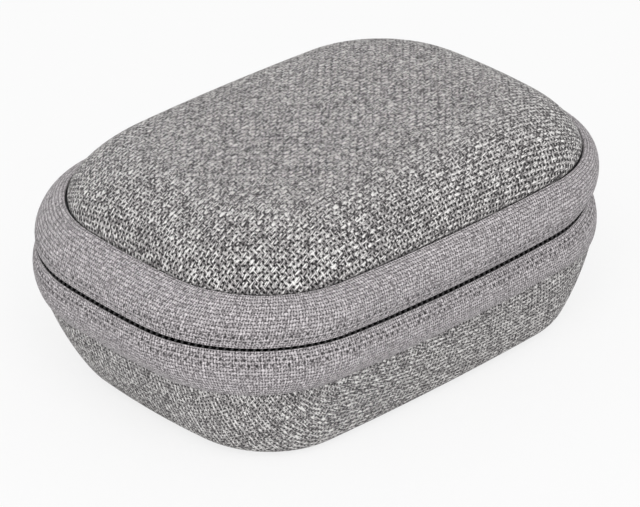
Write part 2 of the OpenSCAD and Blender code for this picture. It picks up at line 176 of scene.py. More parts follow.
def ring(half_length, half_width, corner, height):
    """One ring of points round the case. Near the zip, the slider's corner keeps its true arc."""
    soft, soft_out = outline(half_length, half_width, corner, side_bow, end_bow)
    longer, wider, rounder = slider_track
    radius = corner + rounder
    straights = (half_length + longer - radius, half_width + wider - radius)
    centres = np.clip(soft, np.negative(straights), straights)
    firm_out = soft - centres
    firm_out /= np.linalg.norm(firm_out, axis=1)[:, None]
    firm = centres + firm_out * radius
    near_zip = 1 - smooth((abs(height) - track_low) / (track_high - track_low))
    share = (slider_share * near_zip)[:, None]
    out = soft_out * (1 - share) + firm_out * share
    out /= np.linalg.norm(out, axis=1)[:, None]
    plan = (soft + slide(height)) * (1 - share) + firm * share
    return np.c_[plan, height + sag * np.interp(height, sag_heights, sag_shares)], out


upper_height, upper_tighten = 8.85, 2.2
lower_height, lower_tighten = 9.2, 3.8
lower_longer, lower_narrower = 0.41, 0.43
tighten_power = 4


def case_ring(out, height):
    """The ring at a distance out from the zip line and a height over it, on the zip bands or inside."""
    if height > 0:
        share = min(height / upper_height, 1)
        tighten, longer, narrower = upper_tighten * share**tighten_power, 0, 0
    else:
        share = min(-height / lower_height, 1)
        tighten = lower_tighten * share**tighten_power
        longer, narrower = lower_longer * share, lower_narrower * share
    return ring(
        zip_half_length + out + longer, zip_half_width + out - narrower,
        zip_corner + out - tighten, height,
    )


base_edge = (50.5, 34.65, 22.7)
base_edge_height = -9.2
base_lean = (7.56, 5.55, 5.7)
base_wall_drop = 15.44
base_wall_power = 1.653
base_bottom = -26.2
base_rim_heights = (-4.9, -6.2, -7.4, -8.4)
wall_angles = np.radians([0, 8, 16, 24, 32, 40, 48, 56, 63, 70])
slope_step = 0.01
foot_steps = 9
flat_rows = (0.93, 0.8, 0.62, 0.42, 0.2)


def wall_ring(edge, lean, power, start, climb, angle):
    """A ring on a wall that leans in from its edge as it turns through an angle."""
    inset = 1 - math.cos(angle) ** power
    sizes = [side - lean_in * inset for side, lean_in in zip(edge, lean)]
    return ring(*sizes, start + climb * math.sin(angle) ** power)


def base_ring(angle):
    return wall_ring(base_edge, base_lean, base_wall_power, base_edge_height, -base_wall_drop, angle)


def round_wall(centre, radius):
    """For a wall that is an arc in section: how far it stands out from the zip line at a height,
    drawn in by a depth."""
    def reach(height, depth=0.0):
        return centre[0] + math.sqrt((radius - depth) ** 2 - (height - centre[1]) ** 2)
    return reach


def wall_rows(rim_heights, reach, wall, angles):
    """Rings from the hidden rim along a wall. Also gives the directions out from its last ring, the
    way from there back to its edge, and how far it runs in and climbs over a last small step."""
    rows = [case_ring(reach(height), height)[0] for height in rim_heights]
    rows += [wall(angle)[0] for angle in angles]
    last, out = wall(angles[-1])
    before = wall(angles[-1] - slope_step)[0]
    outwards = rows[len(rim_heights)][:, :2] - last[:, :2]
    outwards /= np.linalg.norm(outwards, axis=1)[:, None]
    return rows, out, outwards, ((before - last)[:, :2] * out).sum(1), last[:, 2] - before[:, 2]


wall_reach = round_wall((-50.19, 0.595), 50)


def lengthen(rows, first, directions):
    """Where each point lies on the flat cloth: as in plan up to one ring, then on by its own length."""
    flat = [row[:, :2] for row in rows]
    for i in range(first - 1, -1, -1):
        step = np.linalg.norm(rows[i] - rows[i + 1], axis=1)[:, None]
        flat[i] = flat[i + 1] + directions * step
    return flat


def base_surface():
    """Outside of the base from the rim to the middle of the underside, and its cloth laid flat."""
    rows, _, outwards, run, climb = wall_rows(base_rim_heights, wall_reach, base_ring, wall_angles)
    last = rows[-1]
    slope = np.arctan2(-climb, run)
    foot = (last[0, 2] - base_bottom) / (1 - np.cos(slope))
    for i in range(1, foot_steps + 1):
        now = slope * (1 - i / foot_steps)
        plan = last[:, :2] - outwards * (foot * (np.sin(slope) - np.sin(now)))[:, None]
        rows.append(np.c_[plan, last[:, 2] - foot * (np.cos(now) - np.cos(slope))])
    edge = len(rows) - 1
    for share in flat_rows:
        rows.append(rows[edge] * (share, share, 1))
    return rows, lengthen(rows, edge, outwards)


deep, ease_steps = 3.0, 6


def offset(rows, depth):
    """The same surface, drawn in by a depth. Deep inside, its bends are eased so that none folds."""
    grid = np.array(rows)
    down = np.gradient(grid, axis=0)
    onward = np.roll(grid, -1, axis=1) - np.roll(grid, 1, axis=1)
    normal = np.cross(down, onward)
    normal /= np.linalg.norm(normal, axis=2)[..., None]
    facing = np.sign((grid * normal).sum(2).mean())
    drawn = grid - normal * facing * depth
    if depth > deep:
        for _ in range(ease_steps):
            drawn[1:-1] = (drawn[:-2] + 2 * drawn[1:-1] + drawn[2:]) / 4
    return list(drawn)


def mesh_object(name, points, faces, flat=None, open_and_painted_light=None):
    """A mesh from points in millimetres over the zip line. Flat places become its cloth map, and
    a share at each point says how far its weave is stretched open, and how strong its painted
    shade and painted highlight are."""
    mesh = bpy.data.meshes.new(name)
    mesh.from_pydata((np.asarray(points) * mm + (0, 0, zip_height)).tolist(), [], faces)
    if flat is not None:
        layer = mesh.uv_layers.new(name="cloth")
        corners = np.empty(len(mesh.loops), dtype=np.int32)
        mesh.loops.foreach_get("vertex_index", corners)
        layer.data.foreach_set("uv", (np.asarray(flat)[corners] * mm).astype(np.float32).ravel())
    if open_and_painted_light is not None:
        attribute = mesh.attributes.new("open", "FLOAT", "POINT")
        attribute.data.foreach_set("value", np.asarray(open_and_painted_light, dtype=np.float32))
    body = bmesh.new()
    body.from_mesh(mesh)
    bmesh.ops.recalc_face_normals(body, faces=body.faces)
    if body.calc_volume(signed=True) < 0:
        bmesh.ops.reverse_faces(body, faces=body.faces)
    body.to_mesh(mesh)
    body.free()
    mesh.polygons.foreach_set("use_smooth", [True] * len(mesh.polygons))
    return placed(name, mesh)


def bowl(name, rows, flat, start, end, first_row, rows_open_and_painted_light=None):
    """A closed shell between two depths under a surface, from one row to the middle."""
    outer = offset(rows, start)[first_row:]
    inner = offset(rows, end)[first_row:]
    flat = flat[first_row:]
    count = len(outer[0])
    points, places, faces, shares = [], [], [], []
    for layer in (outer, inner):
        first = len(points)
        points += list(np.vstack(layer))
        places += list(np.vstack(flat))
        pole = len(points)
        points.append(layer[-1].mean(0))
        places.append(flat[-1].mean(0))
        if rows_open_and_painted_light is not None:
            shares += list(np.repeat(rows_open_and_painted_light[first_row:], count)) + [rows_open_and_painted_light[-1]]
        for row in range(len(layer) - 1):
            for i in range(count):
                j = (i + 1) % count
                a, b = first + row * count, first + (row + 1) * count
                faces.append((a + i, a + j, b + j, b + i))
        for i in range(count):
            last = first + (len(layer) - 1) * count
            faces.append((last + i, last + (i + 1) % count, pole))
    second = len(points) // 2
    for i in range(count):
        j = (i + 1) % count
        faces.append((i, j, second + j, second + i))
    return mesh_object(name, points, faces, places, shares or None)


def moulded_sheet(rows, corner):
    """Measures the length of a surface from its first row to its middle, at each place round it, and
    gives nothing back. Its corner is not used."""
    grid = np.array(rows)
    path = np.linalg.norm(np.diff(grid, axis=0), axis=2).sum(0)
    path += np.linalg.norm(grid[-1] - grid[-1].mean(0), axis=1)


def node(tree, kind, *inputs, **settings):
    """Adds a node to a tree. Each input is a value, a socket to link, or None."""
    made = tree.nodes.new(kind)
    for name, value in settings.items():
        setattr(made, name, value)
    for socket, value in zip(made.inputs, inputs):
        if isinstance(value, bpy.types.NodeSocket):
            tree.links.new(value, socket)
        elif value is not None:
            socket.default_value = value
    return made


def calc(tree, operation, *inputs, clamp=False):
    return node(tree, "ShaderNodeMath", *inputs, operation=operation, use_clamp=clamp).outputs[0]


def spot(tree, x, y, z=0.0):
    return node(tree, "ShaderNodeCombineXYZ", x, y, z).outputs[0]


def noise(tree, where, scale, detail=2.0, roughness=0.5, output="Fac"):
    """Noise from 0 to 1 at a place."""
    made = node(
        tree, "ShaderNodeTexNoise", where, None, scale, detail, roughness, noise_dimensions="3D"
    )
    return made.outputs[output]


def stretch(tree, value, low, high, to_low=0.0, to_high=1.0, eased=True):
    """A value from one range to another, held at its ends."""
    made = node(
        tree, "ShaderNodeMapRange", value, low, high, to_low, to_high,
        interpolation_type="SMOOTHSTEP" if eased else "LINEAR",
    )
    return made.outputs[0]


def blend_colour(tree, share, first, second):
    """Mixes two colours, which are the seventh and the eighth input of the node."""
    unused = [None] * 5
    made = node(tree, "ShaderNodeMix", share, *unused, first, second, data_type="RGBA")
    return made.outputs[2]


def linear(red, green, blue):
    """A colour as a screen shows it, 0 to 255, for a shader."""
    shares = [v / 255 for v in (red, green, blue)]
    return (*[v / 12.92 if v <= 0.04045 else ((v + 0.055) / 1.055) ** 2.4 for v in shares], 1.0)


def new_material(name, roughness, specular=0.3, sheen=0.0, metallic=0.0):
    material = bpy.data.materials.new(name)
    material.use_nodes = True
    shader = material.node_tree.nodes["Principled BSDF"]
    shader.inputs["Roughness"].default_value = roughness
    shader.inputs["Specular IOR Level"].default_value = specular
    shader.inputs["Sheen Weight"].default_value = sheen
    shader.inputs["Sheen Roughness"].default_value = 0.5
    shader.inputs["Metallic"].default_value = metallic
    return material, material.node_tree, shader


def bump(tree, shader, height, distance):
    made = node(tree, "ShaderNodeBump", 1.0, distance, None, height)
    tree.links.new(made.outputs[0], shader.inputs["Normal"])


def paint(tree, shader, share, dark, light):
    """Colours a finish between two screen colours."""
    mixed = blend_colour(tree, share, linear(*dark), linear(*light))
    tree.links.new(mixed, shader.inputs["Base Color"])


def weave(tree, u, v, arch, width, fibre, mix=1.0, ride=0.0, proud=0.0, dim=0.0):
    """Plain weave at one thread a unit. Gives its height, the shade of the thread on top, and a
    share that is 1 in the pits between the threads. Threads along u ride higher where thick, and
    may stand proud of the others, which may be dimmer."""
    row_u, row_v = calc(tree, "FLOOR", u), calc(tree, "FLOOR", v)
    off_u = calc(tree, "SUBTRACT", calc(tree, "FRACT", u), 0.5)
    off_v = calc(tree, "SUBTRACT", calc(tree, "FRACT", v), 0.5)
    odd = calc(tree, "FLOORED_MODULO", calc(tree, "ADD", row_u, row_v), 2.0)
    over = calc(tree, "MULTIPLY_ADD", odd, -2.0 * arch, arch)
    heights, shades, sides = [], [], []
    for across, along, row, run, other, sign, lift_share, up, shade_change, slub_rate in (
        (off_u, off_v, row_u, v, u, 1.0, 0.0, 0.0, -dim, 1.0),
        (off_v, off_u, row_v, u, v, -1.0, ride, proud, 0.0, 0.6),
    ):
        number = calc(tree, "MULTIPLY_ADD", row, 7.31, 40.0 * sign)
        slub = noise(tree, spot(tree, number, calc(tree, "MULTIPLY", run, slub_rate), 3.0), 1.0, 2.0, 0.7)
        half = calc(tree, "ADD", calc(tree, "MULTIPLY_ADD", slub, 0.3, -0.15), width)
        side = calc(tree, "DIVIDE", calc(tree, "ABSOLUTE", across), half)
        sides.append(side)
        round_part = calc(tree, "SUBTRACT", 1.0, calc(tree, "MULTIPLY", side, side))
        profile = calc(tree, "SQRT", calc(tree, "MAXIMUM", round_part, 0.0))
        wave = calc(tree, "COSINE", calc(tree, "MULTIPLY", along, math.pi))
        lift = calc(tree, "MULTIPLY", calc(tree, "MULTIPLY", over, wave), sign)
        thick = calc(tree, "MULTIPLY_ADD", slub, lift_share, up - lift_share / 2)
        heights.append(calc(tree, "ADD", calc(tree, "MULTIPLY_ADD", profile, 0.5, lift), thick))
        twist = calc(tree, "MULTIPLY_ADD", other, 4.6, calc(tree, "MULTIPLY", run, -0.9))
        streak = noise(tree, spot(tree, twist, calc(tree, "MULTIPLY", run, 0.6), number), 1.0, 2.0)
        yarn = calc(tree, "MULTIPLY_ADD", slub, mix, 0.5 - mix / 2 + shade_change)
        shades.append(calc(tree, "MULTIPLY_ADD", calc(tree, "SUBTRACT", streak, 0.5), fibre, yarn))
    top = calc(tree, "GREATER_THAN", heights[0], heights[1])
    height = calc(tree, "MAXIMUM", heights[0], heights[1])
    gap = calc(tree, "SUBTRACT", shades[0], shades[1])
    pit = stretch(tree, calc(tree, "MINIMUM", sides[0], sides[1]), 0.8, 1.3)
    return height, calc(tree, "MULTIPLY_ADD", gap, top, shades[1]), pit


def cloth_place(tree, pitch, wobble, wobble_size):
    """Place on the flat cloth in threads, a little unsteady."""
    flat = node(tree, "ShaderNodeUVMap", uv_map="cloth").outputs[0]
    parts = node(tree, "ShaderNodeSeparateXYZ", flat)
    wander = noise(tree, flat, 1 / wobble_size, output="Color")
    turns = node(tree, "ShaderNodeSeparateXYZ", wander)
    places = []
    for i in range(2):
        straight_place = calc(tree, "DIVIDE", parts.outputs[i], pitch[i])
        sway = calc(tree, "MULTIPLY_ADD", turns.outputs[i], wobble, -wobble / 2)
        places.append(calc(tree, "ADD", straight_place, sway))
    return places


cover_pitch = 0.92


def melange_cloth(name, ride, proud):
    """Coarse plain weave of mixed light and dark grey yarn. Its low parts and the pits between its
    threads are painted dark as shade, and where it is stretched open, its lightest yarn gets a
    painted highlight.
    """
    material, tree, shader = new_material(name, roughness=0.85, specular=0.25, sheen=0.15)
    u, v = cloth_place(tree, (cover_pitch * mm, cover_pitch * mm), 0.7, 5 * mm)
    # The open attribute says how far the weave is stretched open, and how strong its painted shade and
    # painted highlight are.
    open_and_painted_light = node(tree, "ShaderNodeAttribute", attribute_name="open").outputs["Fac"]
    width = stretch(tree, open_and_painted_light, 0, 1, 0.37, 0.27, eased=False)
    height, shade, pit = weave(tree, u, v, 0.5, width, fibre=2.4, mix=0.6, ride=ride, proud=proud, dim=0.1)
    dark = blend_colour(tree, stretch(tree, shade, 0.2, 0.5), linear(70, 67, 68), linear(172, 168, 168))
    # The lightest yarn, brightened to a painted highlight where the weave is stretched open.
    bright = blend_colour(tree, open_and_painted_light, linear(222, 219, 217), linear(255, 253, 251))
    mixed = blend_colour(tree, stretch(tree, shade, 0.5, 0.75), dark, bright)
    # Painted shade: the low parts of the weave are coloured darker, the more so where it is stretched open.
    low = blend_colour(tree, open_and_painted_light, linear(104, 100, 101), linear(60, 57, 58))
    shaded = blend_colour(tree, stretch(tree, height, -0.1, 0.5), low, mixed)
    # Painted shade: the pits between the threads are coloured near black.
    tree.links.new(blend_colour(tree, pit, shaded, linear(12, 11, 11)), shader.inputs["Base Color"])
    deep = calc(tree, "SUBTRACT", height, calc(tree, "MULTIPLY", pit, 0.7))
    bump(tree, shader, deep, 0.28 * mm)
    return material


cloth_thickness = 0.6
cover_first_row = 3
base_cut_corner, lid_cut_corner = 44.0, 34.0
base_rows, base_flat = base_surface()
# How far the base's weave is stretched open, row by row; it also sets how strong its painted shade and
# painted highlight are.
base_open_and_painted_light = np.interp(np.arange(len(base_rows)), [13, 23, 27], [0.85, 0.8, 0.2])
base_cover = bowl(
    "base_outer_cloth", base_rows, base_flat, 0, cloth_thickness, cover_first_row, base_open_and_painted_light
)
base_cover.data.materials.append(melange_cloth("base_outer_cloth", ride=0.8, proud=0.9))
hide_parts("base_cover")
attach(base_cover, "base")
moulded_sheet(base_rows[cover_first_row:], base_cut_corner)

# Lid cover
# The woven cloth on the outside of the upper shell, one sheet moulded over the foam. It rises
# steeply from the crease at the zip band, turns over a round shoulder and ends in a low crown.
lid_edge = (47.0, 32.0, 21.4)
lid_lean = (17.2, 12.2, 6.2)
lid_rise = 10.09
lid_power = 1.293
lid_top = 20.1
crown_power = 8
lid_rim_heights = (4.9, 6.0, 7.1, 8.1)
lid_angles = np.radians([0, 5, 10, 16, 22, 28, 34, 40, 46, 53, 60])
crown_rows = (0.975, 0.945, 0.91, 0.87, 0.82, 0.76, 0.69, 0.61, 0.52, 0.42, 0.31, 0.2, 0.09)
shoulder_reach = round_wall((-21.6, -0.087), 19.044)


def lid_ring(angle):
    return wall_ring(lid_edge, lid_lean, lid_power, upper_height, lid_rise, angle)


def lid_surface():
    """Outside of the lid from the rim to the middle of the crown, and its cloth laid flat."""
    rows, out, outwards, run, climb = wall_rows(lid_rim_heights, shoulder_reach, lid_ring, lid_angles)
    last = rows[-1]
    middle = last[:, :2].mean(0)
    slope = climb / run * ((last[:, :2] - middle) * out).sum(1)
    rest = lid_top - last[:, 2]
    sharp = (slope - 2 * rest) / (crown_power - 2)
    edge = len(rows) - 1
    for share in crown_rows:
        plan = middle + (last[:, :2] - middle) * share
        rows.append(np.c_[plan, lid_top - (rest - sharp) * share**2 - sharp * share**crown_power])
    return rows, lengthen(rows, edge, outwards)


lid_rows, lid_flat = lid_surface()
# How far the lid's weave is stretched open, row by row; it also sets how strong its painted shade and
# painted highlight are.
lid_open_and_painted_light = np.interp(np.arange(len(lid_rows)), [9, 14, 18], [1.0, 0.6, 0.1])
lid_cover = bowl("lid_outer_cloth", lid_rows, lid_flat, 0, cloth_thickness, cover_first_row, lid_open_and_painted_light)
lid_cover.data.materials.append(melange_cloth("lid_outer_cloth", ride=1.5, proud=0.4))
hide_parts("lid_cover")
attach(lid_cover, "lid")
moulded_sheet(lid_rows[cover_first_row:], lid_cut_corner)

# Foam shells
# One moulded foam shell in the base and one in the lid, each with a bead behind the zip band.
# They lie between the outer cloth and the lining, so they only show where a case is cut open.
foam_start, foam_end = 0.7, 3.7
upper_centre, upper_radius = (-4.854, 3.327), 5.642
lower_centre, lower_radius = (-5.726, -4.228), 6.860
tape_thickness = 0.7
bead_gap, bead_overlap = 0.1, 0.3
station_gap = 0.4


def arc(centre, radius, start, end, count):
    """Points of an arc from one angle to another, in degrees."""
    return [
        (centre[0] + radius * math.cos(a), centre[1] + radius * math.sin(a))
        for a in np.radians(np.linspace(start, end, count))
    ]


def stretch_of(rings, first=None, last=None):
    """Lengths along some rings, and the points there: right round, or between two lengths, which
    are measured from the middle of the back."""
    length = np.linalg.norm(np.diff(rings, axis=1, append=rings[:, :1]), axis=2)
    path = np.r_[0, np.cumsum(length.mean(0))]
    total = path[-1]
    stations = path[:-1]
    if first is not None:
        laps = np.r_[stations - total, stations, stations + total]
        stations = np.r_[first, laps[(laps > first + station_gap) & (laps < last - station_gap)], last]
    wrapped = np.concatenate([rings, rings[:, :1]], axis=1)
    points = np.array([
        [np.interp(stations % total, path, ring_points[:, axis]) for axis in range(3)]
        for ring_points in wrapped
    ])
    return stations, points.transpose(2, 0, 1)


def sweep(name, section, material, first=None, last=None, lift=0.0):
    """A closed section of (out, height) points, swept round the case or along a stretch of it."""
    rings = np.array([case_ring(*point)[0] for point in section])
    rings[..., 2] += lift
    stations, points = stretch_of(rings, first, last)
    return strip(name, points, stations, section, material, first is None)


def strip(name, points, stations, section, material, closed=False):
    """A mesh from sections in a row, joined end to end or capped. On its cloth map, it runs by its
    stations one way and by the way round its section the other."""
    across = np.r_[0, np.cumsum(np.linalg.norm(np.diff(section, axis=0), axis=1))]
    flat = np.array([[station, step] for station in stations for step in across])
    size, count = points.shape[1], len(points)
    faces = []
    for i in range(count if closed else count - 1):
        for k in range(size):
            a, b, m = i * size, ((i + 1) % count) * size, (k + 1) % size
            faces.append((a + k, a + m, b + m, b + k))
    if not closed:
        faces += [tuple(range(size)), tuple((count - 1) * size + k for k in range(size))]
    made = mesh_object(name, points.reshape(-1, 3), faces, flat)
    made.data.materials.append(material)
    return made


def joined(name, *objects):
    """One object from several."""
    with bpy.context.temp_override(
        active_object=objects[0], selected_editable_objects=list(objects), object=objects[0]
    ):
        bpy.ops.object.join()
    objects[0].name = name
    return objects[0]


foam_material, tree, shader = new_material("foam", roughness=0.9, specular=0.2)
where = node(tree, "ShaderNodeTexCoord").outputs["Object"]
cells = noise(tree, where, 1800, 3.0)
paint(tree, shader, stretch(tree, cells, 0.3, 0.7), (52, 52, 54), (74, 74, 76))
bump(tree, shader, cells, 0.1 * mm)
for body, rows, flat, reach, centre, radius, angles in (
    ("base", base_rows, base_flat, wall_reach, lower_centre, lower_radius, (-8, -40)),
    ("lid", lid_rows, lid_flat, shoulder_reach, upper_centre, upper_radius, (18, 68)),
):
    foam = bowl(body + "_foam", rows, flat, foam_start, foam_end, 0)
    foam.data.materials.append(foam_material)
    outside = arc(centre, radius - tape_thickness - bead_gap, *angles, 9)
    inside = [(reach(height, foam_start + bead_overlap), height) for _, height in reversed(outside)]
    bead = sweep(body + "_bead", outside + inside, foam_material)
    foam = joined(body + "_foam_shell", foam, bead)
    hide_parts(body + "_shell")
    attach(foam, body)

# Linings
# A thin knit with a brushed face, dyed dark grey. It is glued to the inside of each foam shell
# and moulded with it, so it follows every bend of the foam.
lining_start, lining_end = 3.8, 4.3
knit_pitch = (0.5, 0.7)
lining_material, tree, shader = new_material("lining", roughness=0.95, specular=0.1, sheen=0.4)
u, v = cloth_place(tree, [step * mm for step in knit_pitch], 0.6, 3 * mm)
rib = calc(tree, "ABSOLUTE", calc(tree, "SUBTRACT", calc(tree, "FRACT", u), 0.5))
loop = calc(tree, "ABSOLUTE", calc(tree, "SUBTRACT", calc(tree, "FRACT", calc(tree, "ADD", v, rib)), 0.5))
knit = calc(tree, "ADD", calc(tree, "MULTIPLY", rib, -1.0), calc(tree, "MULTIPLY", loop, -0.7))
# Painted shade: the knit is coloured darker in the grooves between its ribs and loops.
paint(tree, shader, stretch(tree, knit, -0.8, -0.1), (38, 38, 40), (84, 84, 87))
bump(tree, shader, knit, 0.12 * mm)
for body, rows, flat, cut_corner in (
    ("base", base_rows, base_flat, base_cut_corner), ("lid", lid_rows, lid_flat, lid_cut_corner)
):
    lining = bowl(body + "_knit_lining", rows, flat, lining_start, lining_end, 0)
    lining.data.materials.append(lining_material)
    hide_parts(body + "_lining")
    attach(lining, body)
    moulded_sheet(offset(rows, lining_start), cut_corner)

# Bindings
# A woven binding tape folded over the rim of each shell. It covers the edges of the lining and
# the foam, from the inside of the case out to the zip tape, and is sewn down all round.
binding_depth = 4.6
binding_thickness = 0.4
binding_low, binding_high, binding_turn = 4.5, 8.1, 0.5
rim_gap = 0.15


def ribbon(line, thickness):
    """Section of a flat tape that follows a line of (out, height) points."""
    line = np.array(line)
    along = np.gradient(line, axis=0)
    across = np.c_[-along[:, 1], along[:, 0]] / np.linalg.norm(along, axis=1)[:, None]
    half = across * thickness / 2
    return [tuple(p) for p in np.vstack([line + half, (line - half)[::-1]])]


def ribbed_tape(name, roughness, pitch, dark, light):
    """Narrow woven tape with ribs across it, painted darker in the low parts of its weave as shade."""
    material, tree, shader = new_material(name, roughness, specular=0.3, sheen=0.2)
    u, v = cloth_place(tree, [step * mm for step in pitch], 0.2, 3 * mm)
    height = weave(tree, u, v, arch=0.3, width=0.45, fibre=0.3)[0]
    # Painted shade: the low parts of the weave are coloured darker.
    paint(tree, shader, stretch(tree, height, 0.0, 0.6), dark, light)
    bump(tree, shader, height, 0.08 * mm)
    return material


binding_material = ribbed_tape("binding", 0.75, (0.6, 0.3), (24, 24, 25), (62, 62, 64))
for body, sign, reach, centre, radius in (
    ("base", -1, wall_reach, lower_centre, lower_radius),
    ("lid", 1, shoulder_reach, upper_centre, upper_radius),
):
    low = sign * binding_low
    inner = radius - tape_thickness - rim_gap
    rim = centre[0] + math.sqrt(inner**2 - (low - centre[1]) ** 2)
    line = [
        (reach(sign * height, binding_depth), sign * height)
        for height in np.linspace(binding_high, binding_low + binding_turn, 8)
    ]
    corner = (line[-1][0] + binding_turn, sign * (binding_low + binding_turn))
    line += arc(corner, binding_turn, 180, 180 + 90 * sign, 6)[1:]
    line += [(out, low) for out in np.linspace(line[-1][0], rim, 7)[1:]]
    binding = sweep(body + "_rim_binding", ribbon(line, binding_thickness), binding_material)
    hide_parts(body + "_binding")
    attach(binding, body)

# Binding stitches
# One row of dark twisted thread round each binding, machine sewn through it and the lining.
# The stitches are short, and each sinks into the tape at its ends.
stitch_pitch, stitch_length, stitch_radius = 3.0, 2.2, 0.17
stitch_lift = 0.28


def set_input(modifier, name, value):
    """Sets a modifier's input by its socket's identifier."""
    sockets = modifier.node_group.interface.items_tree
    found = next(s for s in sockets if s.item_type == "SOCKET" and s.in_out == "INPUT" and s.name == name)
    modifier[found.identifier] = value


def new_tree(name, floats):
    """A geometry node tree with a mesh in and out, a material, and named inputs."""
    made = bpy.data.node_groups.new(name, "GeometryNodeTree")
    made.interface.new_socket("Geometry", in_out="INPUT", socket_type="NodeSocketGeometry")
    for label in floats:
        made.interface.new_socket(label, in_out="INPUT", socket_type="NodeSocketFloat")
    made.interface.new_socket("Material", in_out="INPUT", socket_type="NodeSocketMaterial")
    made.interface.new_socket("Geometry", in_out="OUTPUT", socket_type="NodeSocketGeometry")
    return made, made.nodes.new("NodeGroupInput"), made.nodes.new("NodeGroupOutput")


def finish_tree(tree, start, end, geometry):
    """Ends a tree in Realize Instances and Set Material."""
    real = node(tree, "GeometryNodeRealizeInstances", geometry)
    coat = node(tree, "GeometryNodeSetMaterial", real.outputs[0], None, start.outputs["Material"])
    tree.links.new(coat.outputs[0], end.inputs[0])


def result_of(source):
    """What an object's modifiers give, as a plain smooth mesh."""
    bpy.context.view_layer.update()
    evaluated = source.evaluated_get(bpy.context.evaluated_depsgraph_get())
    mesh = bpy.data.meshes.new_from_object(evaluated)
    mesh.polygons.foreach_set("use_smooth", [True] * len(mesh.polygons))
    return mesh


def grown(name, source, tree, **inputs):
    """Runs a tree on an object and keeps the result as a plain mesh."""
    modifier = source.modifiers.new("grow", "NODES")
    modifier.node_group = tree
    for label, value in inputs.items():
        set_input(modifier, label.replace("_", " "), value)
    mesh = result_of(source)
    source.modifiers.remove(modifier)
    bpy.data.objects.remove(source)
    return placed(name, mesh)


def wires(points, edges):
    """Wires that other pieces follow, from points in millimetres over the zip line."""
    mesh = bpy.data.meshes.new("wires")
    mesh.from_pydata((np.asarray(points) * mm + (0, 0, zip_height)).tolist(), edges, [])
    return placed("wires", mesh)


def path_object(points, closed):
    """One wire through some points in a row."""
    count = len(points)
    return wires(points, [(i, (i + 1) % count) for i in range(count if closed else count - 1)])


def stitch_tree():
    """Short stitches along a wire, each a round length of thread that narrows to its ends."""
    tree, start, end = new_tree("stitches", ("Pitch", "Length", "Radius"))
    pitch, length, radius = [start.outputs[label] for label in ("Pitch", "Length", "Radius")]
    wire = node(tree, "GeometryNodeMeshToCurve", start.outputs["Geometry"])
    spread = node(tree, "GeometryNodeCurveToPoints", wire.outputs[0], mode="LENGTH")
    tree.links.new(pitch, spread.inputs["Length"])
    body = node(tree, "GeometryNodeMeshUVSphere", 8, 6, 1.0)
    size = spot(tree, radius, radius, calc(tree, "MULTIPLY", length, 0.5))
    shape = node(tree, "GeometryNodeTransform", body.outputs[0])
    tree.links.new(size, shape.inputs["Scale"])
    place_each = node(tree, "GeometryNodeInstanceOnPoints", spread.outputs["Points"])
    tree.links.new(shape.outputs[0], place_each.inputs["Instance"])
    tree.links.new(spread.outputs["Rotation"], place_each.inputs["Rotation"])
    finish_tree(tree, start, end, place_each.outputs[0])
    return tree


def mottled(name, scale, dark, light, **finish):
    """A plain finish, mottled between two colours."""
    material, tree, shader = new_material(name, **finish)
    where = node(tree, "ShaderNodeTexCoord").outputs["Object"]
    paint(tree, shader, noise(tree, where, scale), dark, light)
    return material


dark_thread = mottled(
    "dark_thread", 4000, (24, 24, 25), (58, 58, 60), roughness=0.6, specular=0.4
)
stitches = stitch_tree()
for body, sign, reach in (("base", -1, wall_reach), ("lid", 1, shoulder_reach)):
    height = sign * (binding_low + binding_high) / 2
    wire = path_object(case_ring(reach(height, binding_depth + stitch_lift), height)[0], True)
    seam = grown(
        body + "_binding_stitches", wire, stitches, Pitch=stitch_pitch * mm,
        Length=stitch_length * mm, Radius=stitch_radius * mm, Material=dark_thread,
    )
    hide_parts(body + "_binding_seam")
    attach(seam, body)

# Zip tapes
# One woven tape on each side of the zip, sewn to the shell's edge and rounded over its rim.
# Each is turned in at the crease and has a soft edge at the coil. They end under the hinge strip.
tape_cut = 17.0
tape_bend, tape_edge = 1.6, 0.33
upper_crease, lower_crease = 78.2, -46.45
hem_steps = ((0.16, 0.06), (0.26, 0.35), (0.2, 0.85))
tape_lip = 0.14
lip_steps = ((0.04, 0.03), (0.15, 0.0), (0.42, 0.08))


def tape_section(centre, radius, crease_angle, sign):
    """Section of one tape: from its thin edge at the coil, over the rim, turned in at the crease."""
    inner = radius - tape_thickness
    bend = math.degrees(math.asin((sign * tape_bend - centre[1]) / radius))
    outside = arc(centre, radius, crease_angle, bend, 20)
    slope = math.tan(math.radians(bend))
    edge = outside[-1][0] + (tape_bend - tape_edge) * slope * sign
    hem = [(outside[0][0] - inwards, outside[0][1] - down * sign) for inwards, down in hem_steps]
    lip = [(edge + tape_lip * slope * sign, sign * (tape_edge + tape_lip))]
    lip += [(edge - inwards, sign * (tape_edge + up)) for inwards, up in lip_steps]
    inside_bend = math.degrees(math.asin((sign * tape_bend - centre[1]) / inner))
    inside = arc(centre, inner, inside_bend, crease_angle, 20)
    return lip[::-1] + outside[::-1] + hem + inside[:-1][::-1]


needle_pitch, needle_rows = 1.3, (1.9, 3.0)
tape_pitch = (0.51, 0.68)


def needle_holes(tree, u, v):
    """A share that is 1 in the two rows of needle holes along a tape, where its coil is sewn on."""
    holes = 0.0
    for number, row in enumerate(needle_rows):
        turn = calc(tree, "MULTIPLY_ADD", u, tape_pitch[0] / needle_pitch, number / 2)
        along = calc(tree, "SUBTRACT", calc(tree, "FRACT", turn), 0.5)
        across = calc(tree, "MULTIPLY_ADD", v, tape_pitch[1] / needle_pitch, -row / needle_pitch)
        squares = calc(tree, "MULTIPLY_ADD", across, across, calc(tree, "MULTIPLY", along, along))
        depth = stretch(tree, noise(tree, spot(tree, turn, number), 0.7), 0.3, 0.55, 0.0, 0.9)
        hole = stretch(tree, calc(tree, "SQRT", squares), 0.1, 0.3, 1.0, 0.0)
        holes = calc(tree, "MAXIMUM", calc(tree, "MULTIPLY", hole, depth), holes)
    return holes


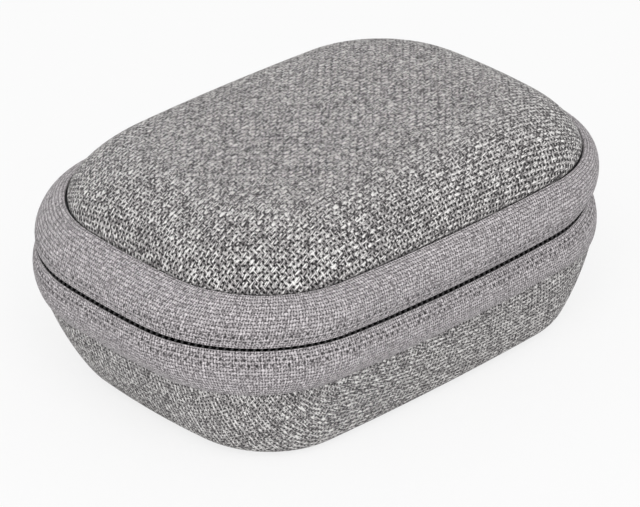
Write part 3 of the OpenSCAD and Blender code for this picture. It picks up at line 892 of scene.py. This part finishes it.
def tape_cloth(name, sewn):
    """Fine plain weave of warm grey yarn. Where a coil is sewn on, needle holes show. Its low parts,
    its pits and its needle holes are painted dark as shade.
    """
    material, tree, shader = new_material(name, roughness=0.8, specular=0.25, sheen=0.15)
    u, v = cloth_place(tree, [pitch * mm for pitch in tape_pitch], 0.5, 2.5 * mm)
    height, shade, pit = weave(tree, u, v, arch=0.42, width=0.36, fibre=1.6, mix=0.4)
    mixed = blend_colour(tree, stretch(tree, shade, 0.3, 0.7), linear(116, 111, 113), linear(232, 226, 229))
    # Painted shade: the low parts of the weave are coloured darker.
    colour = blend_colour(tree, stretch(tree, height, 0.0, 0.65), linear(78, 74, 76), mixed)
    # Painted shade: the pits between the threads are coloured dark.
    colour = blend_colour(tree, pit, colour, linear(50, 47, 48))
    deep = calc(tree, "SUBTRACT", height, calc(tree, "MULTIPLY", pit, 0.5))
    if sewn:
        holes = needle_holes(tree, u, v)
        # Painted shade: the needle holes are coloured near black.
        colour = blend_colour(tree, holes, colour, linear(26, 24, 25))
        deep = calc(tree, "SUBTRACT", deep, holes)
    tree.links.new(colour, shader.inputs["Base Color"])
    bump(tree, shader, deep, 0.2 * mm)
    return material


zip_cloth = tape_cloth("zip_tape", sewn=True)
tapes = (
    ("lid", upper_centre, upper_radius, upper_crease, 1),
    ("base", lower_centre, lower_radius, lower_crease, -1),
)
zip_ring = case_ring(0, 0)[0]
zip_length = np.linalg.norm(zip_ring - np.roll(zip_ring, 1, axis=0), axis=1).sum()
opening_gap, opening_reach = 0.2, 2.4
opening_places = (58, 72, 106, 122, 128, 142, 168, 182)
opening = around(opening_places, (0, 1, 1, 0, 0, 1, 1, 0)) * opening_gap
for body, centre, radius, crease_angle, sign in tapes:
    section = tape_section(centre, radius, crease_angle, sign)
    near_edge = np.clip(1 - np.abs([height for _, height in section]) / opening_reach, 0, 1)
    lift = sign * np.outer(near_edge, opening)
    tape = sweep(body + "_zip_tape_cloth", section, zip_cloth, tape_cut, zip_length - tape_cut, lift)
    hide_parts(body + "_zip_tape")
    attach(tape, body)

# Zip coils
# Two rows of black nylon coil, one sewn behind each tape. Their turns pass into each other at
# the zip line, half a turn apart, and show as the dark line between the tapes.
coil_pitch, coil_wire, coil_points = 1.3, 0.27, 14
coil_place, coil_swing = -1.2, 0.72
coil_height, coil_rise = 1.2, 1.3
yarn_sides = 6


def even_wire(tree, start):
    """The wire that goes in, as a curve with a point at every step."""
    wire = node(tree, "GeometryNodeMeshToCurve", start.outputs["Geometry"])
    even = node(tree, "GeometryNodeResampleCurve", wire.outputs[0], mode="LENGTH")
    tree.links.new(start.outputs["Step"], even.inputs["Length"])
    return even.outputs[0]


def finish_yarn(tree, start, end, curve, shift):
    """Ends a tree with a curve, each point shifted, as a yarn or wire with a round section."""
    moved = node(tree, "GeometryNodeSetPosition", curve, None, None, shift)
    circle = node(tree, "GeometryNodeCurvePrimitiveCircle", yarn_sides)
    tree.links.new(start.outputs["Radius"], circle.inputs["Radius"])
    made = node(tree, "GeometryNodeCurveToMesh", moved.outputs[0], circle.outputs[0])
    made.inputs["Fill Caps"].default_value = True
    finish_tree(tree, start, end, made.outputs[0])


def coil_tree():
    """A helix round a wire, flattened to the coil's own width and depth."""
    names = ("Step", "Radius", "Depth", "Swing", "Height", "Rise", "Turn")
    tree, start, end = new_tree("coil", names)
    given = start.outputs
    curve = even_wire(tree, start)
    number = tree.nodes.new("GeometryNodeInputIndex").outputs[0]
    angle = calc(tree, "MULTIPLY", number, given["Turn"])
    depth = calc(tree, "MULTIPLY_ADD", calc(tree, "SINE", angle), given["Swing"], given["Depth"])
    height = calc(tree, "MULTIPLY_ADD", calc(tree, "COSINE", angle), given["Rise"], given["Height"])
    tangent = tree.nodes.new("GeometryNodeInputTangent").outputs[0]
    outwards = node(tree, "ShaderNodeVectorMath", (0, 0, 1), tangent, operation="CROSS_PRODUCT")
    moved = node(tree, "ShaderNodeVectorMath", outwards.outputs[0], operation="SCALE")
    tree.links.new(depth, moved.inputs["Scale"])
    upwards = spot(tree, 0.0, 0.0, height)
    total = node(tree, "ShaderNodeVectorMath", moved.outputs[0], upwards, operation="ADD")
    finish_yarn(tree, start, end, curve, total.outputs[0])
    return tree


coil_nylon = mottled("zip_coil", 900, (34, 33, 34), (60, 59, 60), roughness=0.4, specular=0.5)
coils = coil_tree()
coil_route = stretch_of(np.array([zip_ring]), tape_cut, zip_length - tape_cut)[1][:, 0]
for body, sign in (("lid", 1), ("base", -1)):
    coil = grown(
        body + "_nylon_coil", path_object(coil_route, False), coils,
        Step=coil_pitch / coil_points * mm, Radius=coil_wire * mm,
        Depth=coil_place * mm, Swing=coil_swing * mm,
        Height=sign * coil_height * mm, Rise=coil_rise * mm,
        Turn=2 * math.pi / coil_points, Material=coil_nylon,
    )
    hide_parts(body + "_zip_coil")
    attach(coil, body)

# Hinge strip
# A wide strip of the same cloth as the zip tapes, sewn over both bands at the middle of the back,
# so that the lid turns on the cloth between them. Its section runs from the lid over the zip to
# the base.
strip_thickness, strip_middle = 0.6, 0.4
hinge_half_length = 22.0
bridge_height = 1.5


def band_point(centre, radius, height):
    """The outermost place at a height on a round band."""
    return (centre[0] + math.sqrt(radius**2 - (height - centre[1]) ** 2), height)


def hinge_line(upper_end, lower_end):
    """The middle of the strip's thickness: over the upper band, across the zip, over the lower."""
    top, low = upper_radius + strip_middle, lower_radius + strip_middle
    first = math.degrees(math.asin((bridge_height - upper_centre[1]) / top))
    last = math.degrees(math.asin((-bridge_height - lower_centre[1]) / low))
    line = arc(upper_centre, top, upper_end, first, 16)
    line += [
        tuple(np.array(line[-1]) * (1 - t) + np.array(band_point(lower_centre, low, -bridge_height)) * t)
        for t in np.linspace(0, 1, 12)[1:-1]
    ]
    return line + arc(lower_centre, low, last, lower_end, 14)


hinge_profile = hinge_line(upper_crease, lower_crease)
strip_cloth = sweep(
    "hinge_strip_cloth", ribbon(hinge_profile, strip_thickness), tape_cloth("hinge_cloth", sewn=False),
    -hinge_half_length, hinge_half_length,
)
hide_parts("hinge_strip")
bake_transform(strip_cloth)

# Hinge stitches
# A row of grey twisted thread near the upper and the lower edge of the hinge strip. Each is
# machine sewn through the strip and the band under it.
hinge_stitch_height = 7.45
seam_lift = 0.76
seam_half_length = 20.0
grey_thread = mottled(
    "tape_thread", 4000, (105, 101, 103), (150, 146, 148), roughness=0.6, specular=0.4
)
for body, centre, radius, sign in (
    ("lid", upper_centre, upper_radius, 1), ("base", lower_centre, lower_radius, -1)
):
    place_of_seam = band_point(centre, radius + seam_lift, sign * hinge_stitch_height)
    seam_ring = np.array([case_ring(*place_of_seam)[0]])
    route = stretch_of(seam_ring, -seam_half_length, seam_half_length)[1][:, 0]
    seam = grown(
        body + "_hinge_stitches", path_object(route, False), stitches, Pitch=stitch_pitch * mm,
        Length=stitch_length * mm, Radius=stitch_radius * mm, Material=grey_thread,
    )
    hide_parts(body + "_hinge_seam")
    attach(seam, body)

# Inner hinge cloth
# A dark ribbed cloth behind the zip line, sewn under the two bindings, that closes the inside of
# the hinge.
inner_middle, inner_thickness = -0.65, 0.5
inner_reach, inner_half_length = 4.2, 16.9
line = [(inner_middle, height) for height in np.linspace(inner_reach, -inner_reach, 20)]
inner_cloth = sweep(
    "inner_hinge_cloth", ribbon(line, inner_thickness), binding_material,
    -inner_half_length, inner_half_length,
)
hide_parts("hinge_lining")
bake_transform(inner_cloth)

# Pocket edge tape
# A dark ribbed tape, folded over the net's curved edge. It is sewn to the lining of the lid and
# holds the net there.
net_height = 9.5
pocket_front = -8.0
edge_width, edge_thickness = 3.0, 1.0
edge_gap, edge_turn = 0.05, 0.3


def at_height(rows, height):
    """The ring of points where a surface passes a height."""
    grid = np.array(rows)
    made = []
    for column in grid.transpose(1, 0, 2):
        rising = column[: np.argmax(column[:, 2]) + 1]
        made.append([np.interp(height, rising[:, 2], rising[:, axis]) for axis in range(3)])
    return np.array(made)


def drawn_in(points, distance):
    """A level ring of points, drawn in by a distance."""
    along = np.roll(points, -1, axis=0) - np.roll(points, 1, axis=0)
    out = np.c_[-along[:, 1], along[:, 0], np.zeros(len(points))]
    return points - out / np.linalg.norm(out, axis=1)[:, None] * distance


def crossing(points, y, sign):
    """Length from the middle of the back to where a ring passes a line across the lid."""
    if sign < 0:
        points = np.roll(points[::-1], 1, axis=0)
    length = np.r_[0, np.cumsum(np.linalg.norm(np.diff(points[:, :2], axis=0), axis=1))]
    half = len(points) // 2
    return sign * np.interp(-y, -points[:half, 1], length[:half])


lid_inside = offset(lid_rows, lining_end + edge_gap)
edge_outside = at_height(lid_inside, net_height)
edge_fold = edge_width - edge_turn
edge_section = [
    (0.0, -edge_thickness / 2), (0.0, edge_thickness / 2),
    (edge_fold, edge_thickness / 2), (edge_width, edge_thickness / 4),
    (edge_width, -edge_thickness / 4), (edge_fold, -edge_thickness / 2),
]
edge_rings = np.array([drawn_in(edge_outside, inset) + (0, 0, up) for inset, up in edge_section])
middle_ring = edge_rings.mean(0)
ends = [crossing(middle_ring, pocket_front, sign) for sign in (-1, 1)]
stations, points = stretch_of(edge_rings, *ends)
edge_tape = strip("pocket_edge_binding", points, stations, edge_section, binding_material)
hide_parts("pocket_edge_tape")
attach(edge_tape, "lid")

# Pocket net
# A soft knitted net of black yarn, cut to the shape inside its edge tape and sewn in stretched
# level, across the back two thirds of the lid.
net_spacing, net_yarn = 2.2, 0.15
net_slant, net_lift = 52, 0.1
net_step, net_sway = 0.7, 0.12
net_yarn_share, net_overlap = 0.4, 0.2


def inside_runs(edge, direction, spacing):
    """Runs of parallel strands inside an outline, as pairs of ends."""
    unit = np.array([math.cos(direction), math.sin(direction)])
    side = np.array([-unit[1], unit[0]])
    across = edge @ side
    runs = []
    for place in np.arange(math.ceil(across.min() / spacing), math.floor(across.max() / spacing) + 1):
        hits = []
        for a, b in zip(edge, np.roll(edge, -1, axis=0)):
            u, v = a @ side - place * spacing, b @ side - place * spacing
            if u * v < 0:
                hits.append((a + (b - a) * u / (u - v)) @ unit)
        hits.sort()
        for low, high in zip(hits[::2], hits[1::2]):
            if high - low > spacing / 2:
                runs.append((unit * low + side * place * spacing, unit * high + side * place * spacing))
    return runs


def net_tree():
    """Strands with a small weave up and down, each a thin round yarn."""
    tree, start, end = new_tree("net", ("Step", "Radius", "Sway", "Wave"))
    curve = even_wire(tree, start)
    position = tree.nodes.new("GeometryNodeInputPosition").outputs[0]
    parts = node(tree, "ShaderNodeSeparateXYZ", position)
    waves = [
        calc(tree, "SINE", calc(tree, "MULTIPLY", parts.outputs[i], start.outputs["Wave"])) for i in (0, 1)
    ]
    lift = calc(tree, "MULTIPLY", calc(tree, "MULTIPLY", *waves), start.outputs["Sway"])
    finish_yarn(tree, start, end, curve, spot(tree, 0.0, 0.0, lift))
    return tree


net_edge = stretch_of(np.array([drawn_in(edge_outside, edge_width - net_overlap)]), *ends)[1][:, 0]
net_points, net_edges = [], []
for side in (1, -1):
    for run in inside_runs(net_edge[:, :2], math.radians(side * net_slant), net_spacing):
        net_edges.append((len(net_points), len(net_points) + 1))
        net_points += [(*end, net_height + side * net_lift) for end in run]
net_material = mottled(
    "net", 5000, (22, 22, 23), (52, 52, 54), roughness=0.7, specular=0.35, sheen=0.3
)
net = grown(
    "knitted_net", wires(net_points, net_edges), net_tree(), Step=net_step * mm,
    Radius=net_yarn * mm, Sway=net_sway * mm, Wave=2 * math.pi / (net_spacing * mm),
    Material=net_material,
)
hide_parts("pocket_net")
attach(net, "lid")
net_size = np.ptp(net_edge[:, :2], axis=0) * mm

# Pocket elastic
# A black ribbed elastic band along the open edge of the pocket. The net is sewn to it, and its
# ends are sewn to the lining.
elastic_width, elastic_thickness, elastic_ribs = 4.0, 1.2, 5
elastic_gather, elastic_puff = 2.6, 0.06
elastic_gap, elastic_setback = 0.2, 0.1
elastic_groove, elastic_stations = 0.14, 220
elastic_material = ribbed_tape("elastic", 0.7, (0.5, 0.4), (14, 14, 15), (44, 44, 46))
right_half = edge_outside[: 2 * quarter_count][::-1]
half_span = np.interp(pocket_front - elastic_width / 2, right_half[:, 1], right_half[:, 0]) - elastic_gap
places = np.linspace(-half_span, half_span, elastic_stations)
steps = np.linspace(-0.5, 0.5, 4 * elastic_ribs + 1)
ribs = np.abs(np.cos(steps * math.pi * elastic_ribs))
ridge = elastic_thickness / 2 - elastic_groove + elastic_groove * ribs
ridge *= np.clip((0.5 - np.abs(steps)) * 12, 0, 1) ** 0.5 * 0.6 + 0.4
section = np.vstack([np.c_[steps, ridge], np.c_[steps, -ridge][::-1]])
points = []
for x in places:
    gather = elastic_puff * math.sin(2 * math.pi * x / elastic_gather)
    points.append(np.c_[
        np.full(len(section), x),
        pocket_front - elastic_setback - elastic_width / 2 + section[:, 0] * elastic_width,
        net_height + section[:, 1] * (1 + gather),
    ])
true_section = section * (elastic_width, 1)
elastic = strip("ribbed_elastic", np.array(points), places, true_section, elastic_material)
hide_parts("pocket_elastic")
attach(elastic, "lid")

# Slider and pull
# Die-cast metal with softened edges and a worn satin finish. The slider runs on the coils round
# the back right corner, and the pull hangs on its bar.
edge_softness, edge_segments = 0.18, 3
flat_angle, edge_angle, sharp_angle = np.radians([2, 32, 35])


def softened(name, source, material, width):
    """A copy of a hard piece with rounded edges."""
    body = bmesh.new()
    body.from_mesh(source.data)
    body.transform(source.matrix_world)
    bmesh.ops.remove_doubles(body, verts=body.verts, dist=1e-6)
    bmesh.ops.dissolve_limit(
        body, angle_limit=flat_angle, verts=body.verts, edges=body.edges, use_dissolve_boundaries=False
    )
    mesh = bpy.data.meshes.new(name)
    body.to_mesh(mesh)
    body.free()
    mesh.materials.clear()
    mesh.materials.append(material)
    made = placed(name, mesh)
    bevel = made.modifiers.new("edges", "BEVEL")
    bevel.width = width
    bevel.segments = edge_segments
    bevel.limit_method = "ANGLE"
    bevel.angle_limit = edge_angle
    bevel.use_clamp_overlap = True
    result = result_of(made)
    made.modifiers.clear()
    made.data = result
    result.set_sharp_from_angle(angle=sharp_angle)
    return made


def metal(name, light, dark):
    """Cast zinc alloy with a satin finish, rubbed brighter here and there."""
    material, tree, shader = new_material(name, roughness=0.35, specular=0.5, metallic=1.0)
    where = node(tree, "ShaderNodeTexCoord").outputs["Object"]
    wear = stretch(tree, noise(tree, where, 300, 4.0), 0.35, 0.7)
    grain = noise(tree, where, 2500, 3.0)
    paint(tree, shader, wear, dark, light)
    tree.links.new(stretch(tree, grain, 0.3, 0.7, 0.28, 0.48), shader.inputs["Roughness"])
    bump(tree, shader, grain, 0.01 * mm)
    return material


for name, solid, slot_name, body, light, dark in (
    ("cast_slider", "slider_body", "slider_metal", "slider", (120, 118, 118), (84, 82, 83)),
    ("cast_pull", "slider_pull", "pull_metal", "pull", (126, 124, 124), (88, 86, 87)),
):
    cast = softened(name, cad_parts[solid], metal(slot_name, light, dark), edge_softness * mm)
    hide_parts(solid)
    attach(cast, body)

# Floor, light and world
# A pale floor that keeps a faint shadow, under an even white sky. One wide soft lamp stands
# above the case, in front of it and to its left.
floor_size = 3.0
world_light, floor_glow = 0.62, 0.8
key_size, key_energy = 1.2, 14
key_place, key_target = (-0.75, -0.8, 1.3), (0, 0, 0.02)
world = bpy.data.worlds.new("world")
bpy.context.scene.world = world
world.use_nodes = True
tree = world.node_tree
rays = node(tree, "ShaderNodeLightPath")
seen = calc(tree, "MAXIMUM", rays.outputs["Is Camera Ray"], rays.outputs["Is Glossy Ray"])
seen = calc(tree, "MAXIMUM", seen, rays.outputs["Is Transmission Ray"])
background = tree.nodes["Background"]
background.inputs["Color"].default_value = (1, 1, 1, 1)
tree.links.new(stretch(tree, seen, 0, 1, world_light, 1.0), background.inputs["Strength"])

bpy.ops.mesh.primitive_plane_add(size=floor_size)
floor = bpy.context.object
floor.name = "floor"
floor_material, tree, shader = new_material("floor", roughness=0.9, specular=0.1)
shader.inputs["Base Color"].default_value = (0.92, 0.92, 0.92, 1)
rays = node(tree, "ShaderNodeLightPath")
white = node(tree, "ShaderNodeEmission", (1, 1, 1, 1), 1.0)
shown = node(
    tree, "ShaderNodeMixShader", stretch(tree, rays.outputs["Is Camera Ray"], 0, 1, 0.0, floor_glow),
    shader.outputs[0], white.outputs[0],
)
tree.links.new(shown.outputs[0], tree.nodes["Material Output"].inputs["Surface"])
floor.data.materials.append(floor_material)

key_data = bpy.data.lights.new("key", "AREA")
key_data.size = key_size
key_data.energy = key_energy
key = placed("key", key_data)
key.location = key_place
key.rotation_euler = (Vector(key_target) - key.location).to_track_quat("-Z", "Y").to_euler()
bpy.context.scene.view_settings.view_transform = "Standard"
